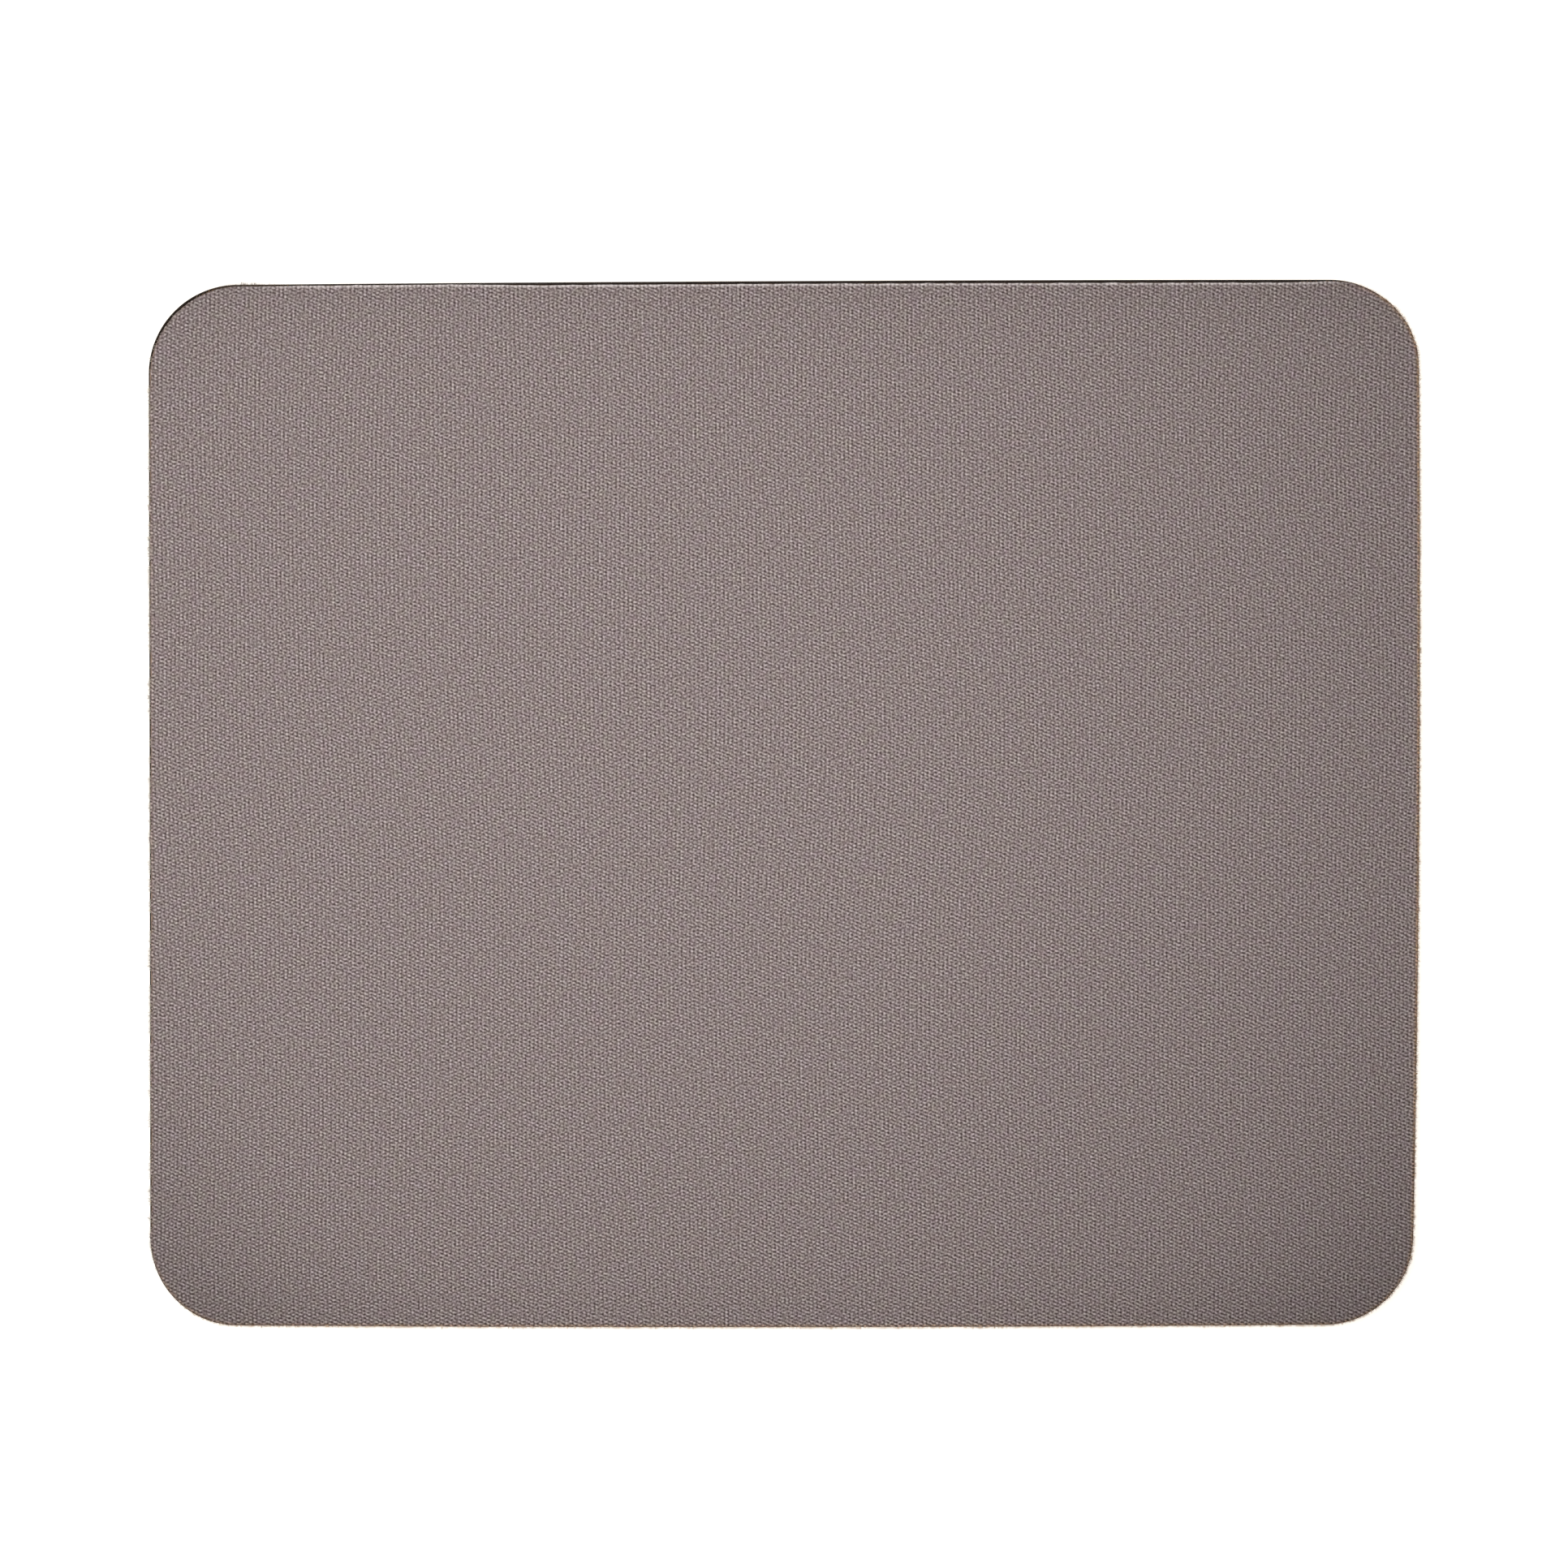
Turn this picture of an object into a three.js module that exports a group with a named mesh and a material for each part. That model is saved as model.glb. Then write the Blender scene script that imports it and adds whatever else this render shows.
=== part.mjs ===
// A cloth mouse pad with rounded corners: a sheet of cloth bonded by a thin film to a sponge-rubber base.
// Lengths are in millimetres and +Z is up. The pad lies on the plane z = 0, centred on the Z axis,
// with +X along its width and +Y away from the person who uses it.

import * as THREE from "three";

// Plan of the pad at its foot
const padWidth = 216;
const padDepth = 178;
const cornerRadius = 15;

// Layers, from the desk up
const baseThickness = 2.5;
const filmThickness = 0.1;
const clothThickness = 0.4;

// Cut edge: the die leaves it leaning inwards, and presses the cloth's upper edge round
const edgeDraftDegrees = 6;
const clothEdgeRadius = 0.25;

// Fineness of the round stretches: a corner gets two straight steps for each division
const cornerDivisions = 12;
const clothEdgeSteps = 4;

const quarterTurn = Math.PI / 2;
const edgeSlope = Math.tan(THREE.MathUtils.degToRad(edgeDraftDegrees));

// How far the cut edge has leaned in from the foot's outline at a height above the desk
function cutEdgeAt(height) {
  return { inset: height * edgeSlope, height };
}

// The pad's outline drawn in by an inset, as a ring of points that runs counter-clockwise
function outline(inset) {
  const radius = cornerRadius - inset;
  const arcCentreX = padWidth / 2 - cornerRadius;
  const arcCentreY = padDepth / 2 - cornerRadius;
  const plan = new THREE.Path();
  plan.absarc(arcCentreX, arcCentreY, radius, 0, quarterTurn);
  plan.absarc(-arcCentreX, arcCentreY, radius, quarterTurn, 2 * quarterTurn);
  plan.absarc(-arcCentreX, -arcCentreY, radius, 2 * quarterTurn, 3 * quarterTurn);
  plan.absarc(arcCentreX, -arcCentreY, radius, 3 * quarterTurn, 4 * quarterTurn);
  return plan.getPoints(cornerDivisions);
}

// A closed layer: the outline is carried up through the levels of an edge profile, each with its own
// height and inset, and a flat face closes the lowest and the highest level
function layerGeometry(profile) {
  const rings = profile.map(({ inset, height }) =>
    outline(inset).map(({ x, y }) => new THREE.Vector3(x, y, height)));
  const count = rings[0].length;
  const topRing = (rings.length - 1) * count;
  const triangles = [];
  for (let ringStart = 0; ringStart < topRing; ringStart += count) {
    for (let i = 0; i < count; i += 1) {
      const here = ringStart + i;
      const next = ringStart + (i + 1) % count;
      triangles.push(here, next, next + count);
      triangles.push(here, next + count, here + count);
    }
  }
  for (const [a, b, c] of THREE.ShapeUtils.triangulateShape(outline(profile[0].inset), [])) {
    triangles.push(c, b, a);
    triangles.push(topRing + a, topRing + b, topRing + c);
  }
  const geometry = new THREE.BufferGeometry().setFromPoints(rings.flat());
  geometry.setIndex(triangles);
  geometry.computeVertexNormals();
  return geometry;
}

function layer(name, profile, finish) {
  const mesh = new THREE.Mesh(layerGeometry(profile), new THREE.MeshStandardMaterial(finish));
  mesh.name = name;
  return mesh;
}

// Black foamed rubber, with a flat underside that lies on the desk
function spongeRubberBase() {
  const profile = [cutEdgeAt(0), cutEdgeAt(baseThickness)];
  return layer("sponge_rubber_base", profile, { color: 0x231e1d, roughness: 0.92, metalness: 0 });
}

// Hot-melt film between the rubber and the cloth
function adhesiveFilm() {
  const profile = [cutEdgeAt(baseThickness), cutEdgeAt(baseThickness + filmThickness)];
  return layer("adhesive_film", profile, { color: 0xb8ada4, roughness: 0.6, metalness: 0 });
}

// Taupe-grey cloth that the mouse slides on, with its upper edge rounded over by a quarter circle
function clothTop() {
  const underside = baseThickness + filmThickness;
  const roundStart = cutEdgeAt(underside + clothThickness - clothEdgeRadius);
  const profile = [cutEdgeAt(underside)];
  for (let step = 0; step <= clothEdgeSteps; step += 1) {
    const turn = quarterTurn * step / clothEdgeSteps;
    profile.push({
      inset: roundStart.inset + clothEdgeRadius * (1 - Math.cos(turn)),
      height: roundStart.height + clothEdgeRadius * Math.sin(turn),
    });
  }
  return layer("cloth_top", profile, { color: 0x8f8280, roughness: 0.95, metalness: 0 });
}

const mousePad = new THREE.Group();
mousePad.add(spongeRubberBase(), adhesiveFilm(), clothTop());

export default mousePad;
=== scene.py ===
"""Dresses the packed mouse pad: woven cloth, bonding film, sponge-rubber base and cut yarn ends."""

import math

import bpy
import numpy as np
from bpy.props import FloatProperty, FloatVectorProperty, IntProperty, PointerProperty
from bpy.types import Operator, Panel, PropertyGroup
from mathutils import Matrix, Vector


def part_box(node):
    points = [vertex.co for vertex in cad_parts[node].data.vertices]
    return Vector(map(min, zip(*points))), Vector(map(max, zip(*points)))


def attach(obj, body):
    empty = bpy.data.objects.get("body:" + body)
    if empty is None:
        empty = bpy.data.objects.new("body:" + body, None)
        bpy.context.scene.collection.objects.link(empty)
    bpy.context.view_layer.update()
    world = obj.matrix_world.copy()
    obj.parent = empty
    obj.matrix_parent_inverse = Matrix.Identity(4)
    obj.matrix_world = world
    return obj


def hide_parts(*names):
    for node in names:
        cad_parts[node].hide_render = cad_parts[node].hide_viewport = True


bl_info = {
    "name": "Cloth Mouse Pad",
    "version": (1, 0, 0),
    "blender": (4, 5, 0),
    "location": "View3D > Sidebar > Mouse Pad",
    "description": "Builds a cloth mouse pad on a sponge-rubber base, with its studio",
    "category": "Add Mesh",
}

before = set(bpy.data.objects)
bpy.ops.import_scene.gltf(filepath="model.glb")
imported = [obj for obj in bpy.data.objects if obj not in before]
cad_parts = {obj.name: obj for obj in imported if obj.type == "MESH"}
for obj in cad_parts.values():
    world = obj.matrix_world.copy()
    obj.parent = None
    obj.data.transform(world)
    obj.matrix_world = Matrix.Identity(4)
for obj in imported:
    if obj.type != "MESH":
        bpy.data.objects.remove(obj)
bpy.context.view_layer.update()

MM = 0.001
QUARTER_TURN = math.pi / 2
BODY = "root"
BASE_NODE, FILM_NODE, CLOTH_NODE = "sponge_rubber_base", "adhesive_film", "cloth_top"
BASE_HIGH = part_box(BASE_NODE)[1]
FILM_LOW, FILM_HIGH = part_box(FILM_NODE)
CLOTH_LOW, CLOTH_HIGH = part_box(CLOTH_NODE)
HALF_WIDTH, HALF_DEPTH = BASE_HIGH.x, BASE_HIGH.y
# The cut edge leans in by this share of its height
EDGE_SLOPE = (BASE_HIGH.x - CLOTH_HIGH.x) / CLOTH_LOW.z

# How often the cells of a face are halved on the way to the rim
BASE_DOUBLINGS, FILM_DOUBLINGS, CLOTH_DOUBLINGS = 2, 2, 3

# Edges of a layer that turn more sharply than this many degrees look sharp
SHARP_FOLD = 50
ALL_SMOOTH = 180

PORE_SEED, SQUEEZE_SEED, NIBBLE_SEED, DENT_SEED = 41, 23, 11, 5
TUFT_SEED, FUZZ_SEED = 77, 78


def length(name, description, default):
    """A property that holds a length in metres."""
    return FloatProperty(
        name=name, description=description, default=default, unit="LENGTH", precision=5)


def angle(name, description, degrees):
    """A property that holds an angle."""
    return FloatProperty(
        name=name, description=description, default=math.radians(degrees), subtype="ANGLE")


def colour(name, description, default):
    """A property that holds a linear colour."""
    return FloatVectorProperty(
        name=name, description=description, default=default, subtype="COLOR", size=3, min=0, max=1)


def number(name, description, default):
    """A property that holds a plain number."""
    return FloatProperty(name=name, description=description, default=default, precision=4)


def count(name, description, default):
    """A property that holds a whole number."""
    return IntProperty(name=name, description=description, default=default, min=1)


def drift(name, to_right, to_far):
    """A property for how a value changes over the pad, for each millimetre to +X and to +Y."""
    return FloatVectorProperty(
        name=name, description="How this value changes over the pad, for each millimetre",
        default=(to_right, to_far, 0.0), size=3, precision=5)


def side_cut(name, shift, lean, bow):
    """A property for one side: how far it lies to +X or +Y, how far it leans and how far it bows."""
    return FloatVectorProperty(
        name=name, description="Shift, lean and bow of the cut along this side",
        default=(shift * MM, lean * MM, bow * MM), size=3, unit="LENGTH", precision=5)


class PadCut(PropertyGroup):
    """Cut of the pad"""

    corner_radius: length("Corner radius", "Radius of the corners at the foot", 15 * MM)
    left_cut: side_cut("Left cut", 0.02, 0.265, 0.03)
    right_cut: side_cut("Right cut", -0.675, 0.155, 0.775)
    bottom_cut: side_cut("Bottom cut", 0.135, 0.07, -0.465)
    top_cut: side_cut("Top cut", -0.245, 0.495, 0.285)
    border: length("Border", "Width of the strip where the cells of a face get finer", 2.4 * MM)


class ClothFinish(PropertyGroup):
    """Cloth"""

    cell: length("Cell", "Size of the cells of the face", 2.4 * MM)
    roll_width: length("Roll width", "Width of the rolled edge, seen from above", 0.6 * MM)
    roll_drop: length("Roll drop", "How far the rolled edge falls", 0.22 * MM)
    nibble: length("Nibble", "Unevenness of the cut yarns", 0.03 * MM)
    left_nibble: number("Left nibble", "How much more uneven the cut is on the left side", 3.0)
    near_calm: number("Near calm", "How much less uneven the cut is on the near side", 0.7)
    dents: length("Dents", "Depth of the slow dents in the face", 0.02 * MM)
    far_bare: length("Far bare", "How far the cloth has shrunk back along the far edge", 0.19 * MM)
    least_bare: number("Least bare", "Share of it at the left end of the far edge", 0.2)
    bare_from: length("Bare from", "Where along X the far edge begins to be fully bare", -57 * MM)
    bare_rise: length("Bare rise", "Width over which it begins", 17 * MM)
    bare_end: length("Bare end", "Where along X the far edge is covered again", 98 * MM)
    bare_fall: length("Bare fall", "Width over which it is covered again", 16 * MM)
    # Where the painted highlight along the far cut lies
    highlit_from: length("Highlit from", "Where along X the far cut begins to be pressed", -98 * MM)
    highlit_rise: length("Highlit rise", "Width over which the highlight begins", 26 * MM)
    highlit_end: length("Highlit end", "Where along X the highlight has ended", 103 * MM)
    highlit_fall: length("Highlit fall", "Width over which the highlight ends", 16 * MM)
    corner_bare: length("Corner bare", "How far cloth has shrunk back at the far left corner", 0.23 * MM)
    corner_cover: length("Corner cover", "How far cloth stands out at the far right corner", 0.15 * MM)
    left_bare: length("Left bare", "How far cloth has shrunk back along the left side", 0.12 * MM)
    overhang: length("Overhang", "How far the frayed edge stands out elsewhere", 0.06 * MM)
    fray_right: number("Fray right", "How brown the frayed yarns of the right side are", 0.6)
    fray_near: number("Fray near", "How brown the frayed yarns of the near side are", 0.5)
    fray_left: number("Fray left", "How brown the frayed yarns of the left side are", 0.12)
    fray_far: number("Fray far", "How brown those at the right of the far side are", 0.35)
    most_frayed: number("Most frayed", "How brown frayed yarns can be, as in the corners", 0.6)
    column_pitch: length("Column pitch", "Distance between the columns of yarn", 0.716 * MM)
    row_pitch: length("Row pitch", "Distance between the floats in a column", 0.627 * MM)
    grain_lean: angle("Grain lean", "Lean of the columns from the pad's sides", 0.42)
    column_lag: number("Column lag", "Turns by which the columns lag behind the floats", 0.227)
    lag_drift: drift("Lag drift", 0.00068, 0.0)
    crook: length("Crook", "How far single floats stray", 0.12 * MM)
    float_strength: number("Float strength", "Contrast of the floats", 0.178)
    column_strength: number("Column strength", "Contrast of the columns", 0.094)
    cross_strength: number("Cross strength", "Contrast of the counter slant", 0.078)
    float_drift: drift("Float drift", 0.0008, -0.0010)
    column_drift: drift("Column drift", -0.0002, 0.0016)
    cross_drift: drift("Cross drift", -0.0020, -0.0037)
    slub_size: length("Slub size", "Distance between thick and thin places of the yarns", 0.345 * MM)
    slub_strength: number("Slub strength", "Contrast of the thick and thin places", 0.80)
    relief: length("Relief", "Height of a float for a contrast of one", 0.3 * MM)
    # The yarns' tone, with painted shade in the hollows and painted light on the crests
    hollow_shade_colour: colour("Hollow colour", "Between the yarns", (0.0557, 0.0362, 0.0337))
    yarn_colour: colour("Yarn colour", "Middle tone of the yarns", (0.2688, 0.2138, 0.2069))
    crest_light_colour: colour("Crest colour", "Crests of the floats", (0.688, 0.593, 0.580))
    # Colour of the painted highlight along the far cut
    highlit_colour: colour("Highlit colour", "Highlit yarns along the far cut", (0.84, 0.75, 0.73))
    bead_strength: number("Bead strength", "Contrast of the single yarns along the far cut", 0.24)
    frayed_colour: colour("Frayed colour", "Frayed yarns along the near cut", (0.40, 0.23, 0.107))
    # Darkening of the cloth's colour towards the near and far edges and into the corners
    edge_darkening: number("Edge soil", "Share of the light that the soiled near and far edges lose", 0.109)
    edge_darkening_width: length("Edge soil width", "Width over which it fades", 5.8 * MM)
    corner_darkening: number("Corner soil", "Share of the light that the soiled corners lose", 0.228)
    undarkened_radius: length("Undarkened radius", "Radius of the clean part of the face", 106.3 * MM)
    undarkened_y: length("Undarkened middle", "Where its middle lies along Y", 14.5 * MM)
    corner_darkening_width: length("Corner soil width", "Width over which the corners' soil begins", 40 * MM)
    sheen: number("Sheen", "Weight of the fibres' sheen", 0.15)


class YarnEnds(PropertyGroup):
    """Cut yarn ends"""

    tufts: count("Tufts", "Number of cut yarns that stand out of the edge", 3000)
    tuft_length: length("Tuft length", "Typical length of a tuft", 0.09 * MM)
    tuft_radius: length("Tuft radius", "Radius of a tuft's root", 0.055 * MM)
    fuzz: count("Fuzz", "Number of thin fibres between the tufts", 24000)
    fuzz_length: length("Fuzz length", "Typical length of a thin fibre", 0.28 * MM)
    fuzz_radius: length("Fuzz radius", "Radius of a thin fibre's root", 0.03 * MM)
    longest: length("Longest", "Length that no fibre passes", 1.0 * MM)
    fluff_place: length("Fluff place", "Where along X the far edge is fluffy", -91 * MM)
    fluff_width: length("Fluff width", "Width of the fluffy stretch", 4.5 * MM)
    fluff: number("Fluff", "How thickly fibres stand there, next to the near edge", 0.9)
    fluff_growth: number("Fluff growth", "How much longer fibres are in the fluffy stretch", 2.0)
    left_share: number("Left share", "How thickly fibres stand on the left side", 0.6)
    far_share: number("Far share", "How thickly fibres stand at the far right", 0.12)
    gathering: number("Gathering", "How far the near fibres gather at the columns of yarn", 0.6)
    clumping: number("Clumping", "How unevenly fibres stand along the edge", 0.4)
    sideways: number("Sideways", "How far fibres lean along the edge", 0.6)
    droop: number("Droop", "How far fibres hang down", 0.05)
    lift: number("Lift", "How far single fibres lean up or down", 0.2)
    tuft_colour: colour("Tuft colour", "Tone of the tufts", (0.22, 0.145, 0.105))
    fuzz_colour: colour("Fuzz colour", "Tone of the thin fibres", (0.66, 0.37, 0.17))
    tip_colour: colour("Tip colour", "Tone of their tips, which let light through", (0.95, 0.77, 0.52))
    worn_colour: colour("Worn colour", "Tone of the worn fibres at the left", (0.66, 0.61, 0.54))
    left_wear: number("Left wear", "How much paler the fibres of the left side are", 0.45)
    fluff_shade: number("Fluff shade", "How much darker the fluff is", 0.5)


class FilmFinish(PropertyGroup):
    """Bonding film"""

    squeeze: length("Squeeze", "How unevenly the film stands at the cut", 0.012 * MM)
    film_colour: colour("Film colour", "Tone of the film", (0.30, 0.20, 0.145))


class RubberFinish(PropertyGroup):
    """Sponge-rubber base"""

    cell: length("Cell", "Size of the cells of the underside", 1.2 * MM)
    wall_levels: count("Wall levels", "Number of rings up the cut wall", 15)
    dish: length("Dish", "How far the cut wall is hollowed half-way up", 0.10 * MM)
    pore_depth: length("Pore depth", "Depth of the open pores in the cut wall", 0.09 * MM)
    pore_size: length("Pore size", "Distance between pores", 0.35 * MM)
    grip_depth: length("Grip depth", "Depth of the grooves in the underside", 0.18 * MM)
    grip_border: length("Grip border", "Plain border of the underside", 7 * MM)
    grip_fade: length("Grip fade", "Width over which the grooves begin", 2 * MM)
    rubber_colour: colour("Rubber colour", "Tone of the rubber", (0.0165, 0.0107, 0.0076))


class Studio(PropertyGroup):
    """Studio"""

    camera_distance: length("Camera distance", "From the lens to the pad", 1.5)
    camera_tilt: angle("Camera tilt", "Lean of the camera from straight above, to +Y", 3.8)
    aim_y: length("Aim", "Where the camera aims along Y", 3.6 * MM)
    focal_length: number("Focal length", "Lens in millimetres on a 36 mm sensor", 202.41)
    lamp_x: length("Lamp X", "Place of the soft lamp along X", -51.5 * MM)
    lamp_y: length("Lamp Y", "Place of the soft lamp along Y", 36 * MM)
    lamp_height: length("Lamp height", "Height of the soft lamp", 127.5 * MM)
    lamp_size: length("Lamp size", "Width of the soft lamp", 392 * MM)
    lamp_power: number("Lamp power", "Power of the soft lamp in watts", 0.379)
    fill: number("Fill", "Strength of the even light from all round", 0.28)
    floor_tone: number("Floor tone", "How much light the floor gives back", 0.82)
    floor_glow: colour("Floor glow", "Light added to the floor beside the pad", (0.85, 0.78, 0.70))
    glow_from: length("Glow from", "Distance at which the added light begins to turn white", 0.12)
    glow_to: length("Glow to", "Distance from which it is white", 0.5)
    floor_reach: length("Floor reach", "Half the width of the floor", 6.0)
    floor_gap: length("Floor gap", "How far the floor lies below the pad's foot", 0.02 * MM)


def side_run(cut, inset, steps):
    """One side of the outline from the bottom edge to the top edge, at even steps of its length.

    A circle of the corner radius, less the inset, is carried up the line between the two corner
    centres, and the point on it turns from facing -Y to facing +Y.
    """
    radius = cut.corner_radius
    arc = radius * QUARTER_TURN
    straight = 2 * (HALF_DEPTH - radius)
    along = np.linspace(0, straight + 2 * arc, steps + 1)
    rise = np.clip(along - arc, 0, straight)
    turn = (along - rise) / radius - QUARTER_TURN
    x = HALF_WIDTH - radius + (radius - inset) * np.cos(turn)
    y = rise - straight / 2 + (radius - inset) * np.sin(turn)
    return np.stack([x, y], axis=1)


def grid_counts(cut, cell):
    """How many columns and rows of cells of about one size cover the face."""
    across = 2 * (HALF_WIDTH - cut.corner_radius)
    up = 2 * (HALF_DEPTH - cut.corner_radius) + 2 * QUARTER_TURN * cut.corner_radius
    return round(across / cell), round(up / cell)


def finer(counts, times):
    """The counts of a grid whose cells are that many times finer."""
    return counts[0] * times, counts[1] * times


def face_grid(cut, inset, counts):
    """Points over the face inside an inset: each row runs straight across between the two sides."""
    side = side_run(cut, inset, counts[1])
    x = side[:, :1] * np.linspace(-1, 1, counts[0] + 1)
    y = np.broadcast_to(side[:, 1:], x.shape)
    return np.stack([x, y], axis=2)


def edge_ring(cut, inset, counts):
    """The outline drawn in by an inset, once round, counter-clockwise from the bottom left.

    The bottom edge and the right side are half of it, and a half turn gives the other half. The inset
    is one length, or one for each point.
    """
    reach = HALF_WIDTH - cut.corner_radius
    x = np.linspace(-reach, reach, counts[0] + 1)[:-1]
    halves = []
    for sign, insets in zip((1, -1), np.broadcast_to(inset, 2 * sum(counts)).reshape(2, -1)):
        below, beside = np.split(insets, [counts[0]])
        bottom = np.stack([x, below - HALF_DEPTH], axis=1)
        side = side_run(cut, np.append(beside, 0), counts[1])[:-1]
        halves += [sign * bottom, sign * side]
    return np.concatenate(halves)


def facing(cut, counts):
    """The outward normal of the outline at each point of a ring."""
    return edge_ring(cut, 0.0, counts) - edge_ring(cut, 1.0, counts)


def cut_error(cut, plan):
    """Moves points of the plan as the slightly uneven cut does.

    Along each side runs its own small offset, shift + lean * t + bow * (1 - t * t), with t from -1 to
    1 along the side. A point between two sides takes the share of each that its distance gives.
    """
    u = plan[:, 0] / HALF_WIDTH
    v = plan[:, 1] / HALF_DEPTH

    def offset(side, t):
        """How far one side lies off at a place along it."""
        shift, lean, bow = side
        return shift + lean * t + bow * (1 - t ** 2)

    x = (1 - u) / 2 * offset(cut.left_cut, v) + (1 + u) / 2 * offset(cut.right_cut, v)
    y = (1 - v) / 2 * offset(cut.bottom_cut, u) + (1 + v) / 2 * offset(cut.top_cut, u)
    return plan + np.stack([x, y], axis=1)


def smooth_noise(shape, blur, seed):
    """Random numbers of unit spread, blurred along each axis by a Gaussian that many steps wide.

    The blur is made on the Fourier transform, so the pattern meets itself without a seam.
    """
    waves = np.fft.fftn(np.random.default_rng(seed).standard_normal(shape))
    for axis, width in enumerate(blur):
        fall = np.exp(-2 * (math.pi * width * np.fft.fftfreq(shape[axis])) ** 2)
        waves = waves * np.expand_dims(fall, [other for other in range(len(shape)) if other != axis])
    noise = np.fft.ifftn(waves).real
    return noise / noise.std()


class Skin:
    """Gathers the points and faces of one closed surface, as whole arrays."""

    def __init__(self, cut):
        self.cut = cut
        self.points = []
        self.marks = []
        self.faces = []
        self.size = 0

    def place(self, plan, height, mark=0.0):
        """Adds points at places of the plan and returns their numbers."""
        plan = cut_error(self.cut, plan.reshape(-1, 2))
        height = np.broadcast_to(np.ravel(height), len(plan))
        self.points.append(np.column_stack([plan, height]))
        self.marks.append(np.broadcast_to(mark, len(plan)))
        self.size += len(plan)
        return np.arange(self.size - len(plan), self.size)

    def grid(self, plan, height, up):
        """Adds a face of four-sided cells, facing up or down, and returns its border's numbers."""
        numbers = self.place(plan, height).reshape(plan.shape[:2])
        cells = [numbers[:-1, :-1], numbers[:-1, 1:], numbers[1:, 1:], numbers[1:, :-1]]
        cells = np.stack(cells, axis=2).reshape(-1, 4)
        self.faces.append(cells if up else cells[:, ::-1])
        return np.concatenate(
            [numbers[0, :-1], numbers[:-1, -1], numbers[-1, :0:-1], numbers[:0:-1, 0]])

    def band(self, inner, outer, up):
        """Joins two rings. The outer one has as many points as the inner one, or twice as many."""
        after = np.roll(inner, -1)
        if len(outer) == len(inner):
            made = [np.stack([inner, outer, np.roll(outer, -1), after], axis=1)]
        else:
            even, odd = outer[::2], outer[1::2]
            made = [
                np.stack([inner, even, odd], axis=1),
                np.stack([inner, odd, after], axis=1),
                np.stack([after, odd, np.roll(even, -1)], axis=1),
            ]
        self.faces += made if up else [face[:, ::-1] for face in made]


def closed_layer(cut, cell, doublings, edge, dents=0.0, grooves=0.0):
    """A closed layer of the pad.

    A grid lies over the top face. Rings lead from it to the rim, each with twice the points of the one
    before. The rings of the edge follow, from the rim to the foot, each with its inset, height and mark.
    The way back to a grid over the underside is the same, the other way round.
    """
    counts = grid_counts(cut, cell)
    skin = Skin(cut)

    def face(inset, height, relief, up):
        """The top face or the underside, out to its rim. Returns the rim's numbers."""
        inset = np.mean(inset)
        rings = [skin.grid(face_grid(cut, inset + cut.border, counts), height + relief, up)]
        for step in range(1, doublings + 1):
            drawn_in = inset + cut.border * (1 - step / (doublings + 1))
            rings.append(skin.place(edge_ring(cut, drawn_in, finer(counts, 2 ** step)), height))
            skin.band(rings[-2], rings[-1], up)
        return rings[-1]

    ring = face(*edge[0][:2], dents, up=True)
    for inset, height, mark in edge:
        lower = skin.place(edge_ring(cut, inset, finer(counts, 2 ** doublings)), height, mark)
        skin.band(ring, lower, up=True)
        ring = lower
    skin.band(face(*edge[-1][:2], grooves, up=False), ring, up=False)
    return skin


def new_piece(name, points, faces, material, sharp_degrees, marks=None):
    """Makes a mesh object at the origin from an array of points and arrays of faces."""
    if not np.isfinite(points).all():
        raise ValueError(f"{name} has a point that isn't a number")
    corners = np.concatenate([face.ravel() for face in faces])
    sides = np.concatenate([np.full(len(face), face.shape[1]) for face in faces])
    mesh = bpy.data.meshes.new(name)
    mesh.vertices.add(len(points))
    mesh.vertices.foreach_set("co", points.astype(np.float32).ravel())
    mesh.loops.add(len(corners))
    mesh.loops.foreach_set("vertex_index", corners.astype(np.int32))
    mesh.polygons.add(len(sides))
    mesh.polygons.foreach_set("loop_start", (np.cumsum(sides) - sides).astype(np.int32))
    mesh.update(calc_edges=True)
    if mesh.validate():
        raise ValueError(f"{name} has a face that isn't valid")
    mesh.shade_smooth()
    mesh.set_sharp_from_angle(angle=math.radians(sharp_degrees))
    if marks is not None:
        attribute = mesh.attributes.new("cut_edge", "FLOAT", "POINT")
        attribute.data.foreach_set("value", marks.astype(np.float32))
    mesh.materials.append(material)
    piece = bpy.data.objects.new(name, mesh)
    bpy.context.scene.collection.objects.link(piece)
    return piece


def new_layer(name, skin, material):
    """Makes a layer's object."""
    return new_piece(
        name, np.concatenate(skin.points), skin.faces, material, SHARP_FOLD, np.concatenate(skin.marks))


def dress(piece, slot, *nodes):
    """Ties a piece to the pad's body and to the nodes that it stands for, which it hides. The slot is not
    used.
    """
    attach(piece, BODY)
    if nodes:
        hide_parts(*nodes)


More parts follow.
